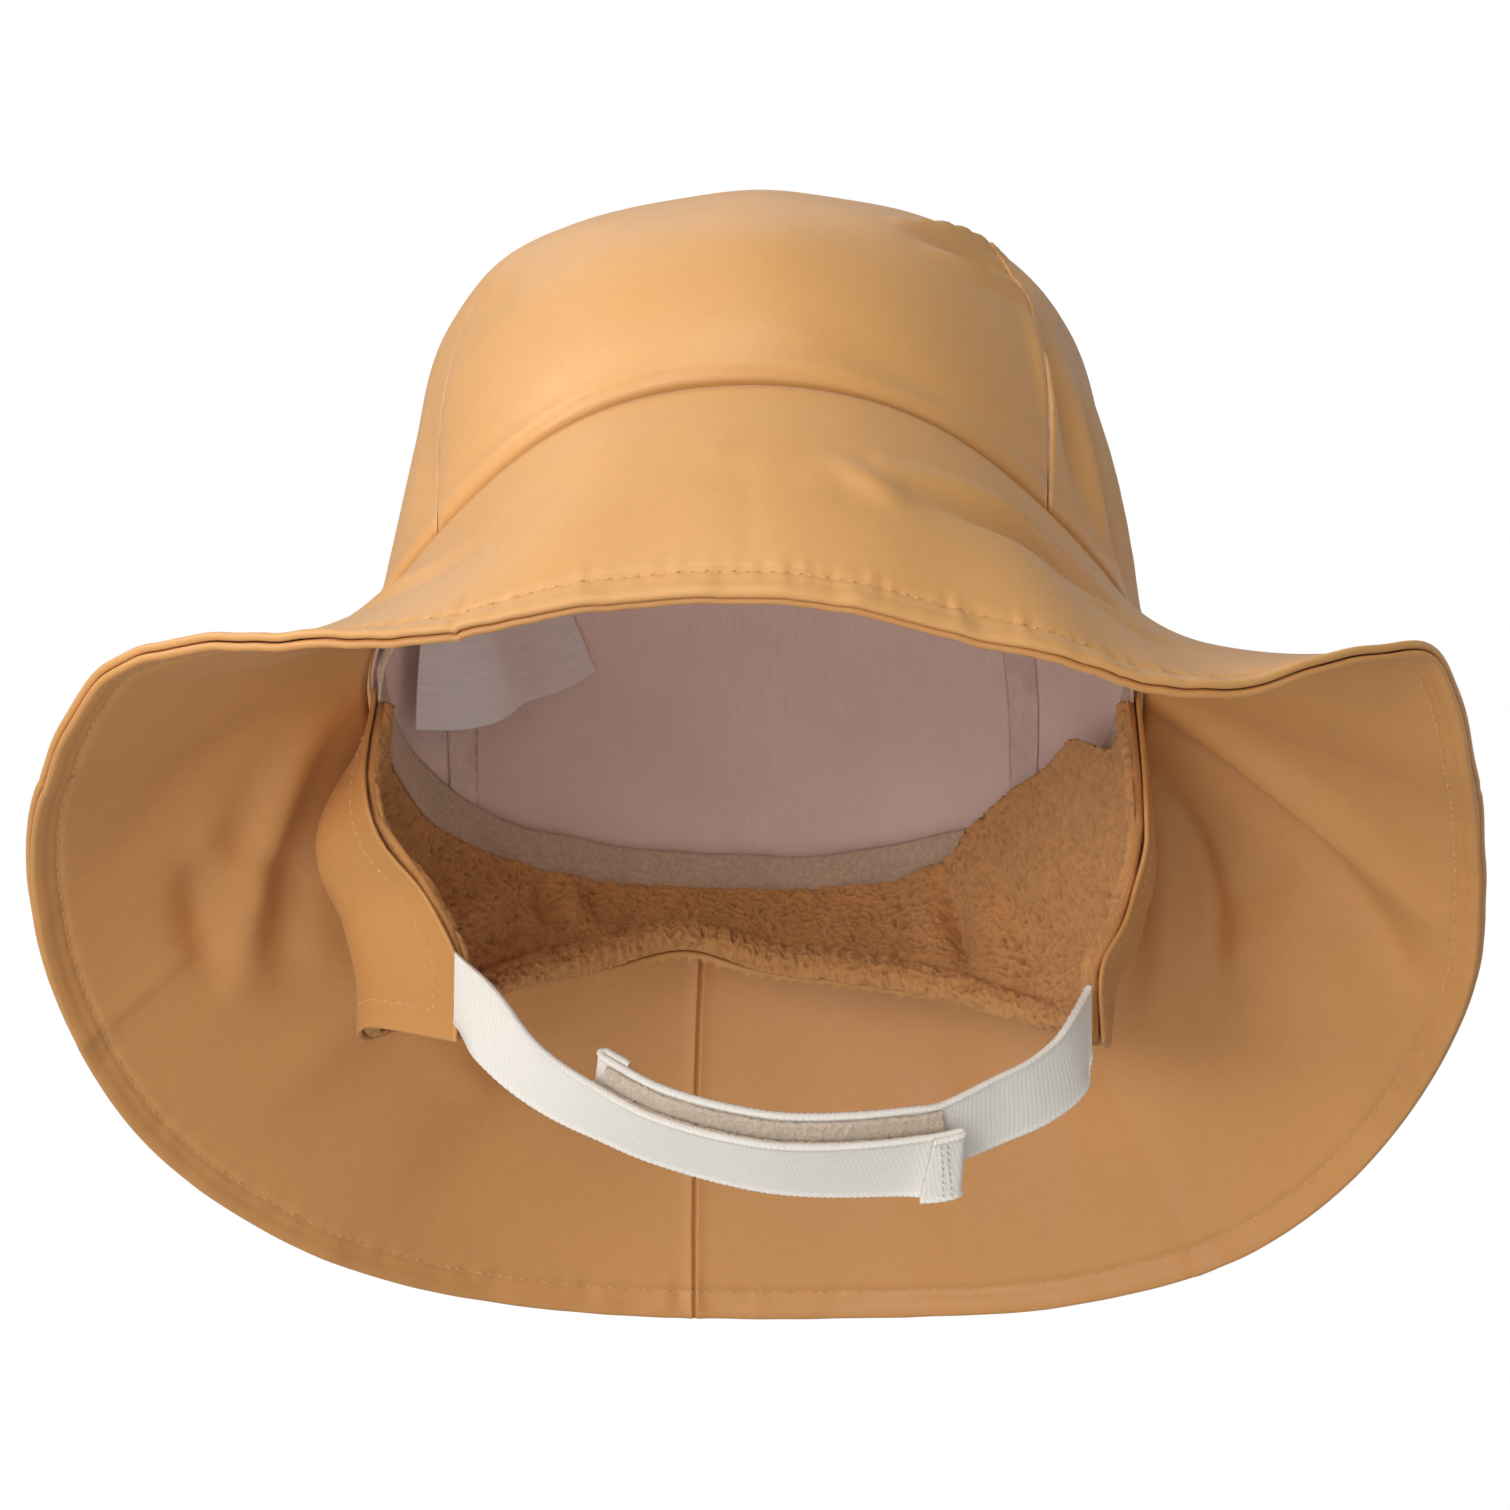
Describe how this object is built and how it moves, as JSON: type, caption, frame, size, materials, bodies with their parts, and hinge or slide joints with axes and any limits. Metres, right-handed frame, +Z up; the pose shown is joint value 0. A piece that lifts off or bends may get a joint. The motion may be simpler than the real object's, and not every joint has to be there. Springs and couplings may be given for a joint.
{
  "type": "rain hat",
  "caption": "Child's rain hat in coated cloth: panelled crown, wide two-ply brim, fleece-lined ear and neck flaps, elastic chin strap.",
  "frame": {"origin": "middle of the head opening, at the height of the seam between crown and brim", "axes": "+Z up through the crown, -Y the front of the hat, +X its right side as seen from the front"},
  "size_m": [0.3005, 0.2687, 0.2135],
  "materials": {
    "crown_cloth": "camel polyurethane coating on knit, smooth with a soft sheen",
    "brim_cloth": "camel polyurethane coating, smooth with a soft sheen",
    "brim_under_cloth": "camel polyurethane coating, smooth with a soft sheen",
    "flap_cloth": "camel polyurethane coating, smooth with a soft sheen",
    "seam_tape": "matt beige felted tape with a hairy lower edge",
    "fleece": "matt brown polar fleece with a short curly pile",
    "woven_elastic": "matt cream woven elastic with beaded edges",
    "hook_and_loop": "matt beige hook-and-loop tape",
    "label_satin": "white satin ribbon, bare"
  },
  "bodies": {
    "root": {"crown_centre_panel": "crown_cloth", "crown_side_panel_left": "crown_cloth", "crown_side_panel_right": "crown_cloth", "brim_upper": "brim_cloth", "brim_under": "brim_under_cloth", "seam_tape": "seam_tape", "flap_shell": "flap_cloth", "fleece_lining": "fleece", "chin_strap_left": "woven_elastic", "chin_strap_right": "woven_elastic", "hook_patch": "hook_and_loop", "loop_patch": "hook_and_loop", "care_label": "label_satin"}
  },
  "joints": []
}
